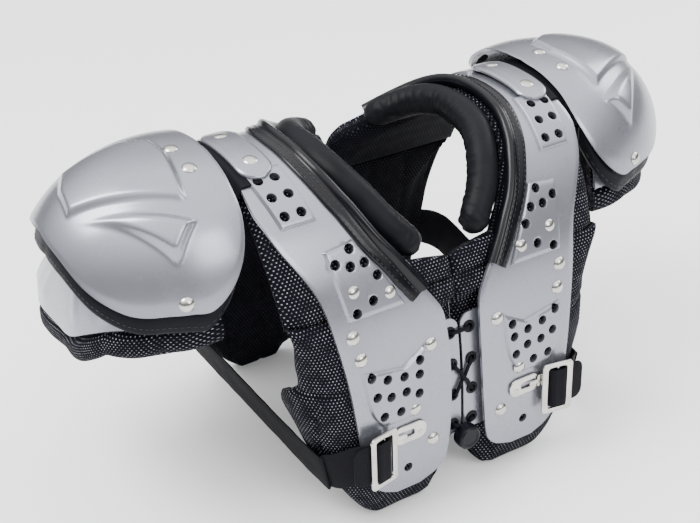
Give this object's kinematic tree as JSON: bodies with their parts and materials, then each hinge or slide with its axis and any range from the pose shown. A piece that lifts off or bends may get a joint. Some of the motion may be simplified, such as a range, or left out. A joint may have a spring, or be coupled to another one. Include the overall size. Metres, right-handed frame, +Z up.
{
  "type": "football shoulder pad",
  "caption": "Worn pad of plastic arches laced over the chest and back, with shoulder caps and cups, a neck roll, foam pads and side belts.",
  "frame": {"origin": "middle of the whole on the floor it stands on", "axes": "+X to the wearer's left, +Y to the wearer's back, +Z up"},
  "size_m": [0.6246, 0.3132, 0.3338],
  "materials": {
    "silver_shell": "satin silver moulded plastic",
    "black_vinyl": "glossy soft vinyl",
    "black_foam": "smooth black foam",
    "grey_nylon": "dark grey nylon with a sheen",
    "black_mesh": "black open mesh over foam",
    "black_webbing": "woven webbing",
    "nickel": "satin nickel plate",
    "black_lace": "braided cord",
    "black_plastic": "matt black plastic"
  },
  "bodies": {
    "root": {"arch_shell_left": "silver_shell", "arch_shell_right": "silver_shell", "neck_trim_left": "black_vinyl", "neck_trim_right": "black_vinyl", "neck_roll_left": "grey_nylon", "neck_roll_right": "grey_nylon", "shoulder_pad_left": "black_mesh", "shoulder_pad_right": "black_mesh", "chest_pad_left": "black_mesh", "chest_pad_right": "black_mesh", "back_pad_left": "black_mesh", "back_pad_right": "black_mesh", "epaulet_left": "silver_shell", "epaulet_right": "silver_shell", "epaulet_binding_left": "black_foam", "epaulet_binding_right": "black_foam", "cup_left": "silver_shell", "cup_right": "silver_shell", "cup_pad_left": "black_mesh", "cup_pad_right": "black_mesh", "strap_plate_left": "silver_shell", "strap_plate_right": "silver_shell", "hinge_strap_left": "black_webbing", "hinge_strap_right": "black_webbing", "strap_rivet_front_left": "nickel", "strap_rivet_front_right": "nickel", "strap_rivet_back_left": "nickel", "strap_rivet_back_right": "nickel", "cap_rivet_front_left": "nickel", "cap_rivet_front_right": "nickel", "cap_rivet_back_left": "nickel", "cap_rivet_back_right": "nickel", "cap_rivet_low_left": "nickel", "cap_rivet_low_right": "nickel", "front_flange_left": "silver_shell", "front_flange_right": "silver_shell", "back_flange_left": "silver_shell", "back_flange_right": "silver_shell", "hook_plate_left": "nickel", "hook_plate_right": "nickel", "buckle_left": "nickel", "buckle_right": "nickel", "belt_left": "black_webbing", "belt_right": "black_webbing", "front_lace": "black_lace", "back_lace": "black_lace", "lace_lock": "black_plastic"}
  },
  "joints": []
}
